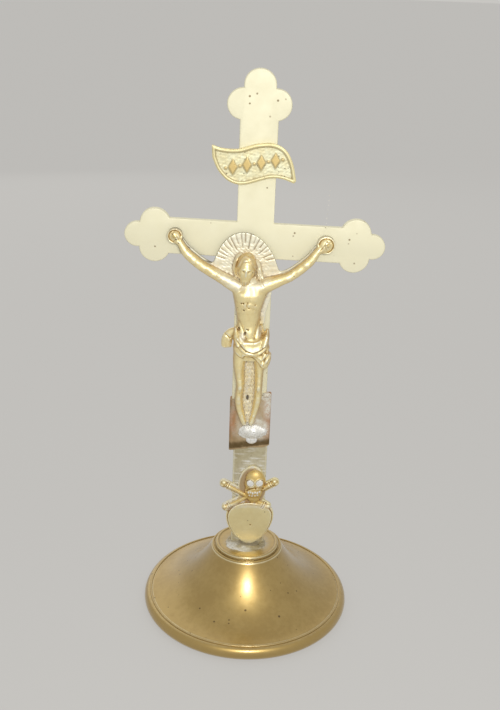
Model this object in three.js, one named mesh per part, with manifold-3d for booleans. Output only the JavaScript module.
// A standing brass cross: a turned foot, a flat cross with trefoil ends, a cast figure, a scroll and a
// skull plaque. Millimetres, +Z up. The cross faces -Y, and the origin is the middle of the foot's rest.
import * as THREE from "three";
import { mergeVertices } from "three/addons/utils/BufferGeometryUtils.js";
import Module from "manifold-3d";

// Clearances
const FIT_GAP = 0.3; // round a piece that a neighbour's hole or recess takes
const SEAT_GAP = 0.05; // between two faces that rest on each other

// Foot
const FOOT_RADIUS = 39;
const FOOT_EDGE_WIDTH = 1.9;
const FOOT_EDGE_ROUND = 0.5;
const RIM_HEIGHT = 2.4;
const RIM_SHOULDER = 2.3;
const RIM_SHOULDER_IN = 1.6;
const RIM_BEAD_IN = 2.9;
const RIM_BEAD_SIZE = 0.55;
const FLARE_FOOT_IN = 1.1;
const FLARE_FOOT_RISE = 1;
const FLARE_FOOT_SLOPE = THREE.MathUtils.degToRad(4);
const FLARE_FOOT_PULL = 12.5;
const FLARE_TOP_SLOPE = THREE.MathUtils.degToRad(64);
const FLARE_TOP_PULL = 9;
const CROWN_Z = 24.1;
const CROWN_BEAD_SIZE = 0.6;
const BELL_WALL = 2.1;

// Disc let into the top of the foot
const DISC_RADIUS = 11.9;
const DISC_THICKNESS = 2.2;
const DISC_EDGE_ROUND = 0.5;
const DISC_RECESS = 0.5;

// Flat bars
const BAR_WIDTH = 12.4;
const BAR_THICKNESS = 2.4;
const BAR_EDGE = 0.35;
const STEM_LENGTH = 50.15;

// Tang, washer and nut inside the foot
const TANG_RADIUS = 1.9;
const TANG_TAIL = 1.5;
const WASHER_RADIUS = 5.4;
const WASHER_THICKNESS = 1.1;
const NUT_ACROSS_FLATS = 7;
const NUT_HEIGHT = 3.4;

// Upper cross, which stands a little to the left of the stem. Its arms lie behind the figure's hands.
const CROSS_X = -1.05;
const TOP_REACH = 55.8;
const ARM_REACH = 43.9;
const ARM_HEIGHT = 12.2;
const ARM_DROOP = THREE.MathUtils.degToRad(1.3);
const ARM_END = { lobe: 4.25, sideBack: 10.2, sideOut: 4, side: 5.2 };
const TOP_END = { lobe: 5.2, sideBack: 11.2, sideOut: 5.4, side: 5.05 };

// Repair sleeve. Its middle lies a little above the joint of the bars, and its ends are slanted.
const SLEEVE_WALL = 0.55;
const SLEEVE_GAP = 0.1;
const SLEEVE_LENGTH = 20.2;
const SLEEVE_RISE = 0.3;
const SLEEVE_SLANT = 0.158;
const SLEEVE_CORNER = 0.9;
const SLEEVE_SEAM = 0.5;
const SLEEVE_SEAM_SHIFT = 2;

// Rivets
const HAND_RIVET = { shank: 0.85, head: 1.35, rise: 0.7 };
const FOOT_RIVET = { shank: 1.1, head: 2.1, rise: 0.9 };
const SCROLL_RIVET = { shank: 0.8, head: 1.5, rise: 0.6 };
const PLAQUE_RIVET = { shank: 0.9, head: 1.7, rise: 0.6 };
const FOOT_RIVET_X = 0.3;
const FOOT_RIVET_DROP = 5.9;

// Scroll
const SCROLL_X = -2.2;
const SCROLL_RISE = 26;
const SCROLL_THICKNESS = 1.2;
const SCROLL_BORDER = 0.95;
const SCROLL_RELIEF = 0.45;
const SCROLL_EDGE = 0.25;
const SCROLL_TOP = [
  [-13.9, 5.7],
  [-10.6, 4.7],
  [-5.2, 4.6],
  [0.8, 6.3],
  [6.2, 6.6],
  [10.2, 4.6],
  [12.6, 0.4],
  [13.9, -5.2],
];
const SCROLL_FOOT = [
  [13.2, -6],
  [9.4, -4.7],
  [5, -4.6],
  [-3.2, -6.9],
  [-8, -6],
  [-11.6, -2.6],
  [-13.6, 1.6],
];
const LOZENGE_COUNT = 4;
const LOZENGE_PITCH = 4.6;
const LOZENGE_SLOPE = 0.18;

// Skull plaque, drawn round the middle of its shield
const SHIELD_X = 0.7;
const SHIELD_RISE = 10.2;
const PLAQUE_GROUND = 1.2;
const PLAQUE_EDGE = 0.3;
const SHIELD_RELIEF = 1;
const SHIELD_FLANGE = 0.8;
const SKULL = { x: 1.5, z: 15.3, relief: 2.6 };
const SOCKET_RADIUS = 1.25;
const BONE_RADIUS = 0.95;
const BONE_FLANGE = 0.7;
const KNOB_RADIUS = 1.3;
const BONE_ENDS = [
  [-10, 15.4, 6.3, 6.3],
  [8.8, 16.6, -9, 5.4],
];
const SHIELD = { side: 8.1, top: 7.9, tip: -9.3, shoulderLeft: 1.6, shoulderRight: 2.6 };

// Figure. Its own frame starts at the toes' height on the cross's centre line, and its back is flat.
const TOES_RISE = 0.3;
const HANDS_ABOVE_AXIS = 0.85;
const HAND_LEFT = { x: -26.8, z: 69 };
const HAND_RIGHT = { x: 24.1, z: 67.7 };
const HAND_BOSS_RADIUS = 2.6;
const HAND_BOSS_RISE = 2;
const HAND_BOSS_STEP = 1;
const HALO = { x: -2.3, z: 52.8, across: 11.5, up: 18, tilt: THREE.MathUtils.degToRad(7.2) };
const HALO_THICKNESS = 1;
const HALO_EDGE = 0.15;
const HALO_SHOULDER_Z = 57;
const HALO_ROOT = { left: -9, right: 4, z: 51 };
const RAY_COUNT = 19;
const RAY_STEP = THREE.MathUtils.degToRad(9.6);
const RAY_START = 5.6;
const RAY_LENGTH = 12;
const RAY_DEPTH = 0.4;
const HEAD = { x: -2.5, z: 59.6, forward: 4.2, nod: 12, tip: 7 };
const WEB_THICKNESS = 0.9;
const WEB_WINDOW = { x: -0.65, z: 10.5, across: 0.4, up: 0.9 };
const LIMB_SIDES = 10;

// Solder
const CROWN_SOLDER = { radius: 9.4, height: 1.3 };
const FOOT_SOLDER = { x: 0.65, drop: 3.1, across: 5.5, up: 3.3, rise: 1.9 };

// Longer than any piece is thick, for what cuts right through
const THROUGH = 12;

// Planes and places that the pieces share
const RIM_BEAD_RADIUS = FOOT_RADIUS - RIM_BEAD_IN;
const FLARE_FOOT_Z = RIM_HEIGHT + RIM_SHOULDER + FLARE_FOOT_RISE;
const CROWN_RADIUS = DISC_RADIUS + FIT_GAP + 2 * CROWN_BEAD_SIZE;
const DISC_BOTTOM_Z = CROWN_Z - DISC_RECESS;
const DISC_TOP_Z = DISC_BOTTOM_Z + DISC_THICKNESS;
const BAR_FRONT = -BAR_THICKNESS / 2;
const BAR_BACK = BAR_THICKNESS / 2;
const STEM_FOOT_Z = DISC_TOP_Z + SEAT_GAP;
const STEM_TOP_Z = STEM_FOOT_Z + STEM_LENGTH;
const BELL_CEILING_Z = DISC_BOTTOM_Z - BELL_WALL;
const WASHER_BOTTOM_Z = BELL_CEILING_Z - SEAT_GAP - WASHER_THICKNESS;
const NUT_BOTTOM_Z = WASHER_BOTTOM_Z - SEAT_GAP - NUT_HEIGHT;
const TANG_END_Z = NUT_BOTTOM_Z - TANG_TAIL;
const TOES_Z = STEM_TOP_Z + TOES_RISE;
const CROSSING_Z = TOES_Z + (HAND_LEFT.z + HAND_RIGHT.z) / 2 - HANDS_ABOVE_AXIS;
const SLEEVE_MIDDLE_Z = STEM_TOP_Z + SLEEVE_RISE;
const SLEEVE_FRONT = BAR_FRONT - SLEEVE_GAP - SLEEVE_WALL;
const SLEEVE_BACK = -SLEEVE_FRONT;
const TRIM_BACK = BAR_FRONT - SEAT_GAP;
const FIGURE_BACK = SLEEVE_FRONT - FIT_GAP;
const FOOT_RIVET_PLACE = { x: FOOT_RIVET_X, z: STEM_TOP_Z - FOOT_RIVET_DROP };
const SCROLL_CENTRE = { x: SCROLL_X, z: CROSSING_Z + SCROLL_RISE };
const SHIELD_CENTRE = { x: SHIELD_X, z: DISC_TOP_Z + SHIELD_RISE };

const wasm = await Module();
wasm.setup();

const group = new THREE.Group();
const brass = (color, roughness) => new THREE.MeshStandardMaterial({ color, roughness, metalness: 1 });

function addPiece(name, geometry, material, place = {}) {
  const flat = geometry.index ? geometry.toNonIndexed() : geometry;
  flat.computeVertexNormals();
  const mesh = new THREE.Mesh(flat, material);
  mesh.name = name;
  mesh.position.set(place.x ?? 0, place.y ?? 0, place.z ?? 0);
  group.add(mesh);
  return mesh;
}

// A closed geometry as a solid that can be joined and cut.
function solid(geometry) {
  const bare = geometry.clone();
  bare.deleteAttribute("normal");
  bare.deleteAttribute("uv");
  const merged = mergeVertices(bare, 1e-4);
  const index = merged.index.array;
  const triangles = [];
  for (let i = 0; i < index.length; i += 3) {
    const [a, b, c] = [index[i], index[i + 1], index[i + 2]];
    if (a !== b && b !== c && a !== c) {
      triangles.push(a, b, c);
    }
  }
  return new wasm.Manifold(
    new wasm.Mesh({
      numProp: 3,
      vertProperties: merged.attributes.position.array,
      triVerts: new Uint32Array(triangles),
    }),
  );
}

function geometryOf(manifold) {
  const mesh = manifold.getMesh();
  const geometry = new THREE.BufferGeometry();
  geometry.setAttribute("position", new THREE.BufferAttribute(new Float32Array(mesh.vertProperties), 3));
  geometry.setIndex(new THREE.BufferAttribute(new Uint32Array(mesh.triVerts), 1));
  return geometry;
}

const join = (parts) => parts.map(solid).reduce((sum, part) => sum.add(part));

// A profile of radius and height, turned about the vertical axis. Its points run up the outside.
function turned(points, segments) {
  const geometry = new THREE.LatheGeometry(points, segments);
  geometry.rotateX(Math.PI / 2);
  return geometry;
}

// A round bar along Y, from its back plane towards the viewer.
function barTowardsFront(radius, back, front, x, z, segments = 16) {
  const geometry = new THREE.CylinderGeometry(radius, radius, back - front, segments);
  geometry.translate(x, (back + front) / 2, z);
  return geometry;
}

// What a rivet's hole takes out of the pieces that it goes through.
function rivetHole({ shank }, { x, z }) {
  return solid(barTowardsFront(shank + FIT_GAP, THROUGH, -THROUGH, x, z));
}

// Everything behind a plane.
function spaceBehind(plane) {
  const space = new THREE.BoxGeometry(4 * ARM_REACH, THROUGH, 4 * CROSSING_Z);
  space.translate(0, plane + THROUGH / 2, 0);
  return solid(space);
}

// A flat shape drawn in X and Z, given its thickness from its back plane towards the viewer.
function plate(shape, back, thickness, edge = 0, curveSegments = 10) {
  const geometry = new THREE.ExtrudeGeometry(shape, {
    depth: thickness - 2 * edge,
    bevelEnabled: edge > 0,
    bevelThickness: edge,
    bevelSize: edge,
    bevelOffset: -edge,
    bevelSegments: 1,
    curveSegments,
  });
  geometry.translate(0, 0, edge);
  geometry.rotateX(Math.PI / 2);
  geometry.translate(0, back, 0);
  return geometry;
}

// A skin over rings of equally many points, closed at both ends.
function skin(rings) {
  const sides = rings[0].length;
  const middle = (ring) => ring.reduce((sum, p) => sum.add(p), new THREE.Vector3()).divideScalar(sides);
  const points = [...rings.flat(), middle(rings[0]), middle(rings.at(-1))];
  const start = points.length - 2;
  const end = points.length - 1;
  const last = (rings.length - 1) * sides;
  const index = [];
  for (let j = 0; j < sides; j += 1) {
    const k = (j + 1) % sides;
    for (let i = 0; i < rings.length - 1; i += 1) {
      const [near, far] = [i * sides, (i + 1) * sides];
      index.push(near + j, near + k, far + j, near + k, far + k, far + j);
    }
    index.push(start, k, j, end, last + j, last + k);
  }
  const geometry = new THREE.BufferGeometry().setFromPoints(points);
  geometry.setIndex(index);
  return geometry;
}

// A limb of oval section along smooth stations of x, z, half width, how far forward its middle lies, and
// half depth. The width lies across the limb in the plane of the cross.
function limb(stations, sides = LIMB_SIDES, steps = 2) {
  const path = new THREE.CatmullRomCurve3(stations.map(([x, z, , y]) => new THREE.Vector3(x, -y, z)));
  const sizes = new THREE.CatmullRomCurve3(stations.map(([, , w, , d]) => new THREE.Vector3(w, d, 0)));
  const count = (stations.length - 1) * steps;
  const rings = [];
  for (let i = 0; i <= count; i += 1) {
    const centre = path.getPoint(i / count);
    const size = sizes.getPoint(i / count);
    const along = path.getTangent(i / count);
    const across = new THREE.Vector3(0, 1, 0).cross(along).normalize();
    const through = along.clone().cross(across);
    rings.push(
      Array.from({ length: sides }, (_, j) => {
        const turn = (2 * Math.PI * j) / sides;
        const point = centre.clone();
        point.addScaledVector(across, size.x * Math.cos(turn));
        return point.addScaledVector(through, size.y * Math.sin(turn));
      }),
    );
  }
  return skin(rings);
}

function egg(x, z, forward, across, up, deep, detail = 12) {
  const geometry = new THREE.SphereGeometry(1, detail, Math.round(detail * 0.7));
  geometry.rotateX(Math.PI / 2);
  geometry.scale(across, deep, up);
  geometry.translate(x, -forward, z);
  return geometry;
}

// Where two circles cross, on the side that the second one's centre has to its right.
function crossingOf(first, firstRadius, second, secondRadius, side) {
  const apart = second.clone().sub(first);
  const gap = apart.length();
  const along = (gap * gap + firstRadius ** 2 - secondRadius ** 2) / (2 * gap);
  const out = Math.sqrt(firstRadius ** 2 - along ** 2) * side;
  const unit = apart.divideScalar(gap);
  const sideways = new THREE.Vector2(unit.y, -unit.x);
  return first.clone().addScaledVector(unit, along).addScaledVector(sideways, out);
}

// The three lobes at the end of an arm, drawn from its right edge round to its left one.
function addTrefoil(shape, origin, angle, reach, halfHeight, end) {
  const at = (u, v) => new THREE.Vector2(u, v).rotateAround(new THREE.Vector2(), angle).add(origin);
  const lobe = at(reach - end.lobe, 0);
  const neckBack = Math.sqrt(end.side ** 2 - (halfHeight - end.sideOut) ** 2);
  const arc = (centre, radius, from, to) => {
    const start = Math.atan2(from.y - centre.y, from.x - centre.x);
    const stop = Math.atan2(to.y - centre.y, to.x - centre.x);
    shape.absarc(centre.x, centre.y, radius, start, stop, false);
  };
  const sides = [-1, 1].map((side) => {
    const centre = at(reach - end.sideBack, side * end.sideOut);
    const neck = at(reach - end.sideBack - neckBack, side * halfHeight);
    const notch = crossingOf(centre, end.side, lobe, end.lobe, -side);
    return { centre, neck, notch };
  });
  const [right, left] = sides;
  arc(right.centre, end.side, right.neck, right.notch);
  arc(lobe, end.lobe, right.notch, left.notch);
  arc(left.centre, end.side, left.notch, left.neck);
}

function crossShape(bottom) {
  const half = BAR_WIDTH / 2;
  const halfArm = ARM_HEIGHT / 2;
  const middle = new THREE.Vector2(0, CROSSING_Z);
  const armEdge = (x, v) => CROSSING_Z - x * Math.tan(ARM_DROOP) + v / Math.cos(ARM_DROOP);
  const shape = new THREE.Shape();
  shape.moveTo(-half, bottom);
  shape.lineTo(half, bottom);
  shape.lineTo(half, armEdge(half, -halfArm));
  addTrefoil(shape, middle, -ARM_DROOP, ARM_REACH, halfArm, ARM_END);
  shape.lineTo(half, armEdge(half, halfArm));
  addTrefoil(shape, middle, Math.PI / 2, TOP_REACH, half, TOP_END);
  shape.lineTo(-half, armEdge(-half, halfArm));
  addTrefoil(shape, middle, Math.PI - ARM_DROOP, ARM_REACH, halfArm, ARM_END);
  shape.lineTo(-half, armEdge(-half, -halfArm));
  return shape;
}

// A rivet along Y with a domed head in front, or a flush end, and a flatter peened head behind.
function rivet({ shank, head, rise }, front, back, domed = true) {
  const tail = back + rise * 0.8;
  const points = domed
    ? [[0, front - rise], [head * 0.55, front - rise * 0.82], [head * 0.9, front - rise * 0.4], [head, front]]
    : [[0, front]];
  points.push([shank, front], [shank, back], [head, back], [head * 0.8, tail], [0, tail]);
  const geometry = new THREE.LatheGeometry(
    points.map(([r, y]) => new THREE.Vector2(r, y)),
    16,
  );
  return geometry;
}

// Foot: the outside follows one flare from the crown's bead to the rim's, and the inside keeps the wall.
const flareFoot = new THREE.Vector2(RIM_BEAD_RADIUS - FLARE_FOOT_IN, FLARE_FOOT_Z);
const flare = new THREE.CubicBezierCurve(
  flareFoot,
  new THREE.Vector2(
    flareFoot.x - FLARE_FOOT_PULL * Math.cos(FLARE_FOOT_SLOPE),
    flareFoot.y + FLARE_FOOT_PULL * Math.sin(FLARE_FOOT_SLOPE),
  ),
  new THREE.Vector2(
    CROWN_RADIUS + FLARE_TOP_PULL * Math.cos(FLARE_TOP_SLOPE),
    CROWN_Z - FLARE_TOP_PULL * Math.sin(FLARE_TOP_SLOPE),
  ),
  new THREE.Vector2(CROWN_RADIUS, CROWN_Z),
);

function beadProfile(radius, z, size) {
  const steps = 3;
  return Array.from({ length: steps + 1 }, (_, i) => {
    const turn = (Math.PI * i) / steps;
    return new THREE.Vector2(radius + size * Math.cos(turn), z + size * Math.sin(turn));
  });
}

function bellProfile() {
  const outerSteps = 9;
  const innerSteps = 6;
  const inside = Array.from({ length: innerSteps + 1 }, (_, i) => {
    const point = flare.getPoint(1 - i / innerSteps);
    const tangent = flare.getTangent(1 - i / innerSteps);
    return new THREE.Vector2(point.x - tangent.y * BELL_WALL, point.y + tangent.x * BELL_WALL);
  });
  const recess = DISC_RADIUS + FIT_GAP;
  const hole = TANG_RADIUS + FIT_GAP;
  const innerRim = FOOT_RADIUS - FOOT_EDGE_WIDTH;
  return [
    new THREE.Vector2(FOOT_RADIUS - FOOT_EDGE_ROUND, 0),
    new THREE.Vector2(FOOT_RADIUS, FOOT_EDGE_ROUND),
    new THREE.Vector2(FOOT_RADIUS, RIM_HEIGHT),
    new THREE.Vector2(FOOT_RADIUS - RIM_SHOULDER_IN * 0.3, RIM_HEIGHT + RIM_SHOULDER * 0.55),
    new THREE.Vector2(FOOT_RADIUS - RIM_SHOULDER_IN, RIM_HEIGHT + RIM_SHOULDER * 0.95),
    ...beadProfile(RIM_BEAD_RADIUS, FLARE_FOOT_Z - RIM_BEAD_SIZE / 2, RIM_BEAD_SIZE),
    ...flare.getPoints(outerSteps),
    ...beadProfile(CROWN_RADIUS - CROWN_BEAD_SIZE, CROWN_Z + 0.1, CROWN_BEAD_SIZE),
    new THREE.Vector2(recess, DISC_BOTTOM_Z),
    new THREE.Vector2(hole, DISC_BOTTOM_Z),
    new THREE.Vector2(hole, BELL_CEILING_Z),
    new THREE.Vector2(WASHER_RADIUS + 2 * FIT_GAP, BELL_CEILING_Z),
    ...inside.filter((point) => point.y < BELL_CEILING_Z - 0.4),
    new THREE.Vector2(innerRim, RIM_HEIGHT),
    new THREE.Vector2(innerRim, 0),
    new THREE.Vector2(FOOT_RADIUS - FOOT_EDGE_ROUND, 0),
  ];
}

addPiece("base_bell", turned(bellProfile(), 44), brass(0xb08d4c, 0.38));

const discProfile = [
  [TANG_RADIUS + FIT_GAP, DISC_BOTTOM_Z + SEAT_GAP],
  [DISC_RADIUS, DISC_BOTTOM_Z + SEAT_GAP],
  [DISC_RADIUS, DISC_TOP_Z - DISC_EDGE_ROUND],
  [DISC_RADIUS - DISC_EDGE_ROUND, DISC_TOP_Z],
  [TANG_RADIUS + FIT_GAP, DISC_TOP_Z],
  [TANG_RADIUS + FIT_GAP, DISC_BOTTOM_Z + SEAT_GAP],
].map(([r, z]) => new THREE.Vector2(r, z));
addPiece("crown_disc", turned(discProfile, 36), brass(0xa08450, 0.45));

// Stem: the bar and its tongue are one outline, and the round tang takes the tongue in.
function stemSolid() {
  const half = BAR_WIDTH / 2;
  const tongue = BAR_THICKNESS / 2;
  const shape = new THREE.Shape([
    new THREE.Vector2(-half, STEM_FOOT_Z),
    new THREE.Vector2(-tongue, STEM_FOOT_Z),
    new THREE.Vector2(-tongue, STEM_FOOT_Z - 2),
    new THREE.Vector2(tongue, STEM_FOOT_Z - 2),
    new THREE.Vector2(tongue, STEM_FOOT_Z),
    new THREE.Vector2(half, STEM_FOOT_Z),
    new THREE.Vector2(half, STEM_TOP_Z),
    new THREE.Vector2(-half, STEM_TOP_Z),
  ]);
  const tang = new THREE.CylinderGeometry(TANG_RADIUS, TANG_RADIUS, STEM_FOOT_Z - TANG_END_Z, 20);
  tang.rotateX(Math.PI / 2);
  tang.translate(0, 0, (STEM_FOOT_Z + TANG_END_Z) / 2);
  return join([plate(shape, BAR_BACK, BAR_THICKNESS, BAR_EDGE), tang])
    .subtract(rivetHole(FOOT_RIVET, FOOT_RIVET_PLACE))
    .subtract(rivetHole(PLAQUE_RIVET, SHIELD_CENTRE));
}
addPiece("stem", geometryOf(stemSolid()), brass(0xb9a878, 0.5));

function ring(inner, outer, bottom, top, segments) {
  const points = [[inner, bottom], [outer, bottom], [outer, top], [inner, top], [inner, bottom]];
  return turned(points.map(([r, z]) => new THREE.Vector2(r, z)), segments);
}
addPiece(
  "tang_washer",
  ring(TANG_RADIUS + FIT_GAP, WASHER_RADIUS, WASHER_BOTTOM_Z, BELL_CEILING_Z - SEAT_GAP, 24),
  brass(0x8f7a4a, 0.5),
);

function hexNut() {
  const radius = NUT_ACROSS_FLATS / Math.sqrt(3);
  const corners = Array.from({ length: 6 }, (_, i) => {
    const turn = (Math.PI * i) / 3;
    return new THREE.Vector2(radius * Math.cos(turn), radius * Math.sin(turn));
  });
  const outline = new THREE.Shape(corners);
  outline.holes.push(new THREE.Path().absarc(0, 0, TANG_RADIUS + FIT_GAP, 0, 2 * Math.PI, true));
  const geometry = new THREE.ExtrudeGeometry(outline, {
    depth: NUT_HEIGHT,
    bevelEnabled: false,
    curveSegments: 16,
  });
  geometry.translate(0, 0, NUT_BOTTOM_Z);
  return geometry;
}
addPiece("tang_nut", hexNut(), brass(0x8f7a4a, 0.5));

// Upper cross, with the holes of the hand rivets and the scroll's rivet
const plateFoot = STEM_TOP_Z + FIT_GAP;
const handPlace = (hand) => ({ x: CROSS_X + hand.x, z: TOES_Z + hand.z });
function crossSolid() {
  const body = plate(crossShape(plateFoot), BAR_BACK, BAR_THICKNESS, BAR_EDGE, 7);
  body.translate(CROSS_X, 0, 0);
  return solid(body)
    .subtract(rivetHole(HAND_RIVET, handPlace(HAND_LEFT)))
    .subtract(rivetHole(HAND_RIVET, handPlace(HAND_RIGHT)))
    .subtract(rivetHole(SCROLL_RIVET, SCROLL_CENTRE));
}
addPiece("cross_plate", geometryOf(crossSolid()), brass(0xd6c68c, 0.35));

// Sleeve: one sheet folded round both bars, open along its seam at the back, with slanted ends
function sleeveSolid() {
  const left = Math.min(CROSS_X, 0) - BAR_WIDTH / 2 - SLEEVE_GAP;
  const right = Math.max(CROSS_X, 0) + BAR_WIDTH / 2 + SLEEVE_GAP;
  const depth = BAR_BACK + SLEEVE_GAP;
  const box = (grow, corner) => {
    const path = new THREE.Shape();
    const [x0, x1, y] = [left - grow, right + grow, depth + grow];
    path.absarc(x0 + corner, -y + corner, corner, Math.PI, 1.5 * Math.PI, false);
    path.absarc(x1 - corner, -y + corner, corner, 1.5 * Math.PI, 2 * Math.PI, false);
    path.absarc(x1 - corner, y - corner, corner, 0, 0.5 * Math.PI, false);
    path.absarc(x0 + corner, y - corner, corner, 0.5 * Math.PI, Math.PI, false);
    return path;
  };
  const tall = (shape, grow) => {
    const geometry = new THREE.ExtrudeGeometry(shape, {
      depth: SLEEVE_LENGTH + grow,
      bevelEnabled: false,
      curveSegments: 4,
    });
    geometry.translate(0, 0, SLEEVE_MIDDLE_Z - (SLEEVE_LENGTH + grow) / 2);
    geometry.applyMatrix4(new THREE.Matrix4().makeShear(0, SLEEVE_SLANT, 0, 0, 0, 0));
    return solid(geometry);
  };
  const seam = new THREE.BoxGeometry(SLEEVE_SEAM, SLEEVE_WALL * 4, SLEEVE_LENGTH * 2);
  seam.translate((left + right) / 2 + SLEEVE_SEAM_SHIFT, SLEEVE_BACK, SLEEVE_MIDDLE_Z);
  return tall(box(SLEEVE_WALL, SLEEVE_CORNER), 0)
    .subtract(tall(box(0, 0.05), 2))
    .subtract(solid(seam))
    .subtract(rivetHole(FOOT_RIVET, FOOT_RIVET_PLACE));
}
addPiece("splice_sleeve", geometryOf(sleeveSolid()), brass(0xa98a66, 0.5));

// Scroll: a waving band with a raised border and a row of plain lozenges
const curveThrough = (pairs) => new THREE.SplineCurve(pairs.map(([x, z]) => new THREE.Vector2(x, z)));
const scrollTop = curveThrough(SCROLL_TOP);
const scrollFoot = curveThrough(SCROLL_FOOT);

// The same outline, drawn in by a border's width along its own normals, without what crosses at a tip.
function inset(points, distance) {
  const drawn = points.map((point, i) => {
    const before = points.at(i - 1);
    const after = points[(i + 1) % points.length];
    const along = after.clone().sub(before).normalize();
    return new THREE.Vector2(point.x + along.y * distance, point.y - along.x * distance);
  });
  return drawn.filter((point) => points.every((corner) => corner.distanceTo(point) > distance * 0.98));
}
function scrollSolid() {
  const outline = [...scrollTop.getPoints(20), ...scrollFoot.getPoints(18)];
  const whole = SCROLL_THICKNESS + SCROLL_RELIEF;
  const place = (geometry) => solid(geometry.translate(SCROLL_CENTRE.x, 0, SCROLL_CENTRE.z));
  const inner = new THREE.Shape(inset(outline, SCROLL_BORDER));
  const field = plate(inner, TRIM_BACK - SCROLL_THICKNESS, 2 * SCROLL_RELIEF);
  let scroll = place(plate(new THREE.Shape(outline), TRIM_BACK, whole, SCROLL_EDGE)).subtract(place(field));
  for (let i = 0; i < LOZENGE_COUNT; i += 1) {
    const across = (i - (LOZENGE_COUNT - 1) / 2) * LOZENGE_PITCH;
    const stud = new THREE.CylinderGeometry(LOZENGE_PITCH * 0.24, LOZENGE_PITCH * 0.35, 2 * SCROLL_RELIEF, 4);
    stud.scale(1, 1, 1.7);
    stud.rotateX(Math.PI);
    stud.translate(across, TRIM_BACK - SCROLL_THICKNESS, LOZENGE_SLOPE * across);
    scroll = scroll.add(place(stud));
  }
  return scroll.subtract(rivetHole(SCROLL_RIVET, SCROLL_CENTRE));
}
addPiece("titulus_scroll", geometryOf(scrollSolid()), brass(0xcdb777, 0.35));

addPiece(
  "titulus_rivet",
  rivet(SCROLL_RIVET, TRIM_BACK - SCROLL_THICKNESS, BAR_BACK + SEAT_GAP, false),
  brass(0xc9b274, 0.4),
  SCROLL_CENTRE,
);

// Skull plaque: flat grounds under the shield, the skull and the crossed bones, and the relief on them.
// It is drawn with its back at zero.
const bones = BONE_ENDS.map(([fromX, fromZ, toX, toZ]) => ({
  from: { x: fromX, z: fromZ },
  to: { x: toX, z: toZ },
}));
function shieldShape(grow) {
  const side = SHIELD.side + grow;
  const top = SHIELD.top + grow;
  const tip = SHIELD.tip - grow;
  const round = side / 2;
  const shape = new THREE.Shape();
  shape.moveTo(0, tip);
  shape.bezierCurveTo(round * 0.8, tip, side, tip * 0.32, side, SHIELD.shoulderRight);
  shape.bezierCurveTo(side, top * 0.8, round, top, 0, top);
  shape.bezierCurveTo(-round, top, -side, top * 0.75, -side, SHIELD.shoulderLeft);
  shape.bezierCurveTo(-side, tip * 0.4, -round * 0.85, tip, 0, tip);
  return shape;
}
function capsule({ from, to }, radius) {
  const angle = Math.atan2(to.z - from.z, to.x - from.x);
  const shape = new THREE.Shape();
  shape.absarc(to.x, to.z, radius, angle - Math.PI / 2, angle + Math.PI / 2, false);
  shape.absarc(from.x, from.z, radius, angle + Math.PI / 2, angle + 1.5 * Math.PI, false);
  return shape;
}
function skullShape() {
  const { x, z, relief } = SKULL;
  return limb(
    [
      [x - 0.2, z - 6.4, 1.6, PLAQUE_GROUND, relief * 0.3],
      [x - 0.2, z - 5.1, 2.5, PLAQUE_GROUND, relief * 0.75],
      [x - 0.1, z - 3.1, 2.7, PLAQUE_GROUND, relief * 0.85],
      [x + 0.1, z - 1.1, 3.1, PLAQUE_GROUND, relief * 0.9],
      [x + 0.1, z + 1.7, 3.5, PLAQUE_GROUND, relief],
      [x, z + 4.5, 2.9, PLAQUE_GROUND, relief * 0.9],
      [x, z + 6.2, 1.2, PLAQUE_GROUND, relief * 0.4],
    ],
    12,
  );
}
function plaqueSolid() {
  const ground = (shape, detail) => plate(shape, 0, PLAQUE_GROUND, PLAQUE_EDGE, detail);
  const skullGround = new THREE.Shape();
  skullGround.absellipse(SKULL.x - 1, SKULL.z - 0.6, 5.2, 8.2, 0, 2 * Math.PI, false);
  const raised = PLAQUE_GROUND + SHIELD_RELIEF;
  const shafts = bones.map(({ from, to }) => {
    const ends = [from, to].map(({ x, z }) => [x, z, BONE_RADIUS, PLAQUE_GROUND, BONE_RADIUS]);
    return limb(ends, 8, 1);
  });
  const knobs = bones
    .flatMap(({ from, to }) => [from, to])
    .map(({ x, z }) => egg(x, z, PLAQUE_GROUND, KNOB_RADIUS, KNOB_RADIUS, KNOB_RADIUS * 0.9, 8));
  const plaque = join([
    ground(shieldShape(SHIELD_FLANGE), 7),
    ground(skullGround, 10),
    ...bones.map((bone) => ground(capsule(bone, BONE_RADIUS + BONE_FLANGE), 5)),
    plate(shieldShape(0), 0, raised, 0.35, 7),
    skullShape(),
    ...shafts,
    ...knobs,
  ]);
  const face = PLAQUE_GROUND + SKULL.relief;
  const sockets = [-1.8, 1.7].map((x) =>
    solid(egg(SKULL.x + x, SKULL.z + 1.7, face, SOCKET_RADIUS, SOCKET_RADIUS, 1.3, 8)),
  );
  const nose = solid(egg(SKULL.x, SKULL.z - 0.9, face, 0.5, 0.9, 0.9, 8));
  return [...sockets, nose, rivetHole(PLAQUE_RIVET, { x: 0, z: 0 }), spaceBehind(0)].reduce(
    (rest, part) => rest.subtract(part),
    plaque,
  );
}
addPiece("skull_plaque", geometryOf(plaqueSolid()), brass(0xcbb574, 0.35), {
  ...SHIELD_CENTRE,
  y: TRIM_BACK,
});
addPiece(
  "plaque_rivet",
  rivet(PLAQUE_RIVET, TRIM_BACK - PLAQUE_GROUND - SHIELD_RELIEF, BAR_BACK + SEAT_GAP, false),
  brass(0xc9b274, 0.4),
  SHIELD_CENTRE,
);

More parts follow.
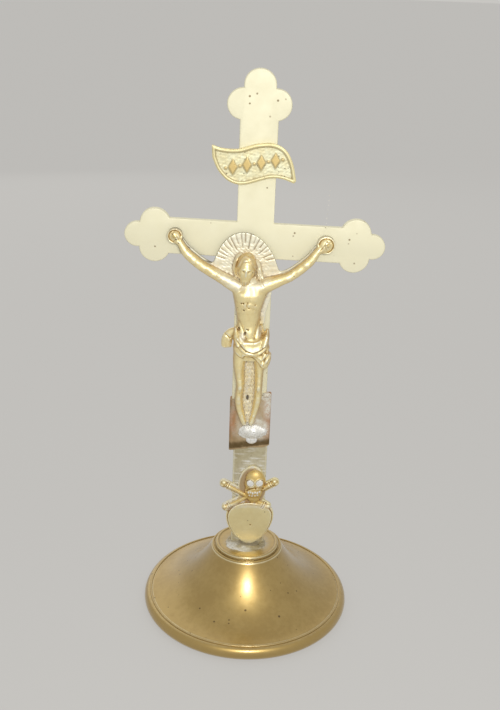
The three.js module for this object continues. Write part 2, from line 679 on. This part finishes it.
// Figure: limbs, body, cloth and head joined to the rayed halo and the web between the legs
const torso = [
  [-0.4, 26, 5.2, 1.2, 3.4],
  [-0.3, 30, 5.6, 1.3, 3.7],
  [-0.7, 34, 4.7, 1.2, 3.5],
  [-0.9, 38.5, 3.5, 1.1, 3.1],
  [-1, 41.5, 4.1, 1.1, 3.5],
  [-1.5, 45.5, 5.1, 1.2, 4],
  [-1.4, 49, 5.8, 1.3, 4.2],
  [-1.2, 52.3, 6.4, 1.2, 3.7],
  [-1.8, 55.4, 4.4, 1.2, 2.7],
  [-2, 58.4, 2.1, 2.2, 2],
];
const armLeft = [
  [-4.5, 51.8, 3, 1.4, 3],
  [-8.2, 53.4, 2.9, 1.4, 2.7],
  [-11.2, 54.7, 2.4, 1.4, 2.3],
  [-14.6, 56.1, 2.05, 1.4, 2.1],
  [-17.7, 58, 1.8, 1.4, 1.8],
  [-20.7, 60.3, 1.55, 1.4, 1.6],
  [-23.4, 63.1, 1.5, 1.4, 1.5],
  [-25.2, 65.7, 1.15, 1.4, 1.2],
  [HAND_LEFT.x + 0.3, HAND_LEFT.z - 1.4, 1.5, 1.4, 1.1],
];
const armRight = [
  [1.4, 51.6, 3.2, 1.4, 3],
  [5.6, 53.6, 3, 1.4, 2.7],
  [9.6, 55.4, 2.5, 1.4, 2.3],
  [13.6, 57.2, 2.05, 1.4, 2.1],
  [16.6, 59.4, 1.75, 1.4, 1.8],
  [19.4, 62.4, 1.55, 1.4, 1.6],
  [21.6, 65, 1.25, 1.4, 1.3],
  [HAND_RIGHT.x - 0.8, HAND_RIGHT.z - 1.2, 1.5, 1.4, 1.1],
];
const legLeft = [
  [-3.3, 29, 2.9, 1.2, 3.4],
  [-4.1, 24.5, 2.3, 1.3, 3.3],
  [-3.9, 20, 1.8, 1.3, 3],
  [-3.3, 16.2, 1.45, 1.6, 2.9],
  [-3.4, 13.6, 1.45, 1.4, 2.5],
  [-3.8, 10, 1.65, 1.2, 2.3],
  [-3.3, 6.2, 1.4, 1.1, 2],
  [-2.3, 3, 0.95, 1.3, 1.4],
  [-1.7, 1, 0.85, 1.7, 1.2],
  [-1.5, 0.1, 0.4, 2, 0.6],
];
const legRight = [
  [2.6, 29, 2.9, 1.2, 3.4],
  [3.2, 24.5, 2, 1.3, 3.2],
  [3.3, 20, 1.55, 1.3, 2.9],
  [3, 16.2, 1.35, 1.6, 2.8],
  [3, 13.6, 1.35, 1.4, 2.4],
  [3.1, 10, 1.55, 1.2, 2.3],
  [2.8, 6.2, 1.35, 1.1, 2],
  [1.9, 3, 0.95, 1.3, 1.4],
  [1.3, 1, 0.85, 1.7, 1.2],
  [1.1, 0.1, 0.4, 2, 0.6],
];
const clothWrap = [
  [-0.3, 34.4, 4.9, 1.2, 3.6],
  [-0.3, 33, 6, 1.3, 4.2],
  [-0.2, 30.4, 6.4, 1.3, 4.5],
  [0, 27.8, 6.5, 1.3, 4.3],
  [0.6, 26.2, 5.6, 1.3, 3.9],
];
// Each fold runs from the left hip, sags across the front and climbs to the right one: the heights at the
// left, in the middle and at the right, the half width, how far forward it lies and its half thickness.
const clothFolds = [
  [34, 32, 34.2, 5.2, 4.8, 1.3],
  [31.4, 29.2, 31.4, 5.9, 5.4, 1.2],
  [28.6, 26.8, 28.2, 5.9, 5.1, 1.3],
];
const clothTip = [
  [5.2, 29, 1.9, 3, 1.9],
  [5, 26.4, 2, 3.1, 1.9],
  [4.5, 24.2, 1.6, 3.3, 1.6],
  [4.1, 22.8, 0.6, 3.3, 0.8],
];
const clothEnd = [
  [-5.2, 35.8, 1.2, 1.2, 1.5],
  [-7.4, 34.6, 2, 1, 1.6],
  [-8.6, 32, 1.9, 0.9, 1.5],
  [-8.8, 29.3, 1.7, 0.9, 1.3],
];

function fold([left, sag, right, across, forward, thick]) {
  return [
    [-across, left, thick * 0.8, forward * 0.5, thick],
    [-across * 0.55, left + (sag - left) * 0.7, thick, forward * 0.88, thick],
    [0.5, sag, thick, forward, thick],
    [across * 0.65, right + (sag - right) * 0.6, thick, forward * 0.85, thick],
    [across, right, thick * 0.8, forward * 0.5, thick],
  ];
}

// The head is modelled upright round its own middle, then hung forward and tipped to one side.
const lock = (side) => [
  [side * 2.2, 4.2, 1.2, -0.6, 1.5],
  [side * 3.4, 1, 1.5, -0.7, 2.2],
  [side * 3.6, -2.6, 1.4, -1.3, 2],
  [side * 3.3, -5.8, 0.8, -2.1, 1.4],
];
function headParts() {
  const shapes = [
    egg(0, -0.2, 0.4, 3.1, 4.3, 3.2, 12),
    egg(0.1, 1.4, -0.7, 4, 4.1, 3.3, 12),
    egg(0, -3.6, 0.9, 1.9, 2.2, 1.9, 8),
    egg(0, -0.8, 3, 0.5, 1.2, 0.8, 6),
    ...[-1, 1].map((side) => limb(lock(side), 8)),
  ];
  const tilt = new THREE.Matrix4().makeRotationFromEuler(
    new THREE.Euler(THREE.MathUtils.degToRad(HEAD.nod), THREE.MathUtils.degToRad(HEAD.tip), 0, "YXZ"),
  );
  return shapes.map((shape) => shape.applyMatrix4(tilt).translate(HEAD.x, -HEAD.forward, HEAD.z));
}

function haloSolid() {
  const rim = new THREE.EllipseCurve(HALO.x, HALO.z, HALO.across, HALO.up, 0, Math.PI, false, HALO.tilt);
  const edge = rim.getPoints(40).filter((point) => point.y > HALO_SHOULDER_Z);
  const root = [HALO_ROOT.left, HALO_ROOT.right].map((x) => new THREE.Vector2(x, HALO_ROOT.z));
  let halo = solid(plate(new THREE.Shape([...edge, ...root]), 0, HALO_THICKNESS, HALO_EDGE));
  for (let i = 0; i < RAY_COUNT; i += 1) {
    const turn = (i - (RAY_COUNT - 1) / 2) * RAY_STEP;
    const groove = new THREE.CylinderGeometry(RAY_DEPTH, RAY_DEPTH, RAY_LENGTH, 4);
    groove.translate(0, RAY_START + RAY_LENGTH / 2, 0);
    groove.rotateZ(turn);
    groove.rotateX(Math.PI / 2);
    groove.translate(HEAD.x - 0.4, -HALO_THICKNESS, HEAD.z);
    halo = halo.subtract(solid(groove));
  }
  return halo;
}

function handBoss({ x, z }) {
  const reach = TRIM_BACK - FIGURE_BACK;
  return join([
    barTowardsFront(HAND_BOSS_RADIUS * 0.8, reach, -HAND_BOSS_STEP, x, z),
    egg(x, z, HAND_BOSS_STEP, HAND_BOSS_RADIUS, HAND_BOSS_RADIUS, HAND_BOSS_RISE),
  ]);
}

function figureSolid() {
  const webSide = [
    [-4, 26],
    [-3.6, 12],
    [-1.6, 2.2],
    [1.2, 2.2],
    [3.2, 12],
    [3.4, 26],
  ];
  const web = new THREE.Shape(webSide.map(([x, z]) => new THREE.Vector2(x, z)));
  const body = join([
    ...[torso, armLeft, armRight, legLeft, legRight, clothWrap].map((stations) => limb(stations)),
    ...[clothTip, clothEnd].map((stations) => limb(stations, 8)),
    ...clothFolds.map((sizes) => limb(fold(sizes), 6)),
    ...headParts(),
    plate(web, 0, WEB_THICKNESS),
  ]);
  const window = egg(WEB_WINDOW.x, WEB_WINDOW.z, 1, WEB_WINDOW.across, WEB_WINDOW.up, 4, 8);
  let figure = body.subtract(spaceBehind(0)).add(haloSolid()).subtract(solid(window));
  [HAND_LEFT, HAND_RIGHT].forEach((hand) => {
    figure = figure.add(handBoss(hand)).subtract(rivetHole(HAND_RIVET, hand));
  });
  return figure;
}
const figurePlace = { x: CROSS_X, y: FIGURE_BACK, z: TOES_Z };
addPiece("corpus", geometryOf(figureSolid()), brass(0xc79f55, 0.35), figurePlace);

// Rivets through the hands and through the sleeve at the feet
const palm = FIGURE_BACK - HAND_BOSS_STEP - HAND_BOSS_RISE;
[
  ["hand_rivet_left", HAND_LEFT],
  ["hand_rivet_right", HAND_RIGHT],
].forEach(([name, hand]) => {
  addPiece(name, rivet(HAND_RIVET, palm, BAR_BACK + SEAT_GAP), brass(0xcdb777, 0.35), handPlace(hand));
});
addPiece(
  "foot_rivet",
  rivet(FOOT_RIVET, SLEEVE_FRONT - SEAT_GAP, SLEEVE_BACK + SEAT_GAP),
  brass(0xa49c88, 0.55),
  FOOT_RIVET_PLACE,
);

// Solder: a low mound round the stem's foot, and a lump on the sleeve under the toes
function crownSolderSolid() {
  const { radius, height } = CROWN_SOLDER;
  const seat = DISC_TOP_Z + SEAT_GAP;
  const profile = [
    [0, 0],
    [1, 0],
    [0.96, 0.2],
    [0.75, 0.5],
    [0.55, 0.85],
    [0, 1],
  ];
  const mound = turned(
    profile.map(([r, z]) => new THREE.Vector2(r * radius, seat + z * height)),
    32,
  );
  const bar = new THREE.BoxGeometry(BAR_WIDTH + 2 * FIT_GAP, BAR_THICKNESS + 2 * FIT_GAP, THROUGH);
  bar.translate(0, 0, DISC_TOP_Z);
  const reach = PLAQUE_GROUND + SHIELD_RELIEF + 2 * FIT_GAP;
  const shield = plate(shieldShape(SHIELD_FLANGE + FIT_GAP), BAR_FRONT, reach, 0, 8);
  shield.translate(SHIELD_CENTRE.x, 0, SHIELD_CENTRE.z);
  return solid(mound).subtract(solid(bar)).subtract(solid(shield));
}
addPiece("crown_solder", geometryOf(crownSolderSolid()), brass(0xb4b2aa, 0.6));

function footSolderSolid() {
  const { x, drop, across, up, rise } = FOOT_SOLDER;
  const face = SLEEVE_FRONT - SEAT_GAP;
  const room = { shank: FOOT_RIVET.head };
  const lump = solid(egg(x, 0, -face, across, up, rise, 18).translate(0, 0, STEM_TOP_Z - drop));
  return lump.subtract(rivetHole(room, FOOT_RIVET_PLACE)).subtract(spaceBehind(face));
}
addPiece("foot_solder", geometryOf(footSolderSolid()), brass(0xc9c8c2, 0.55));

export default group;
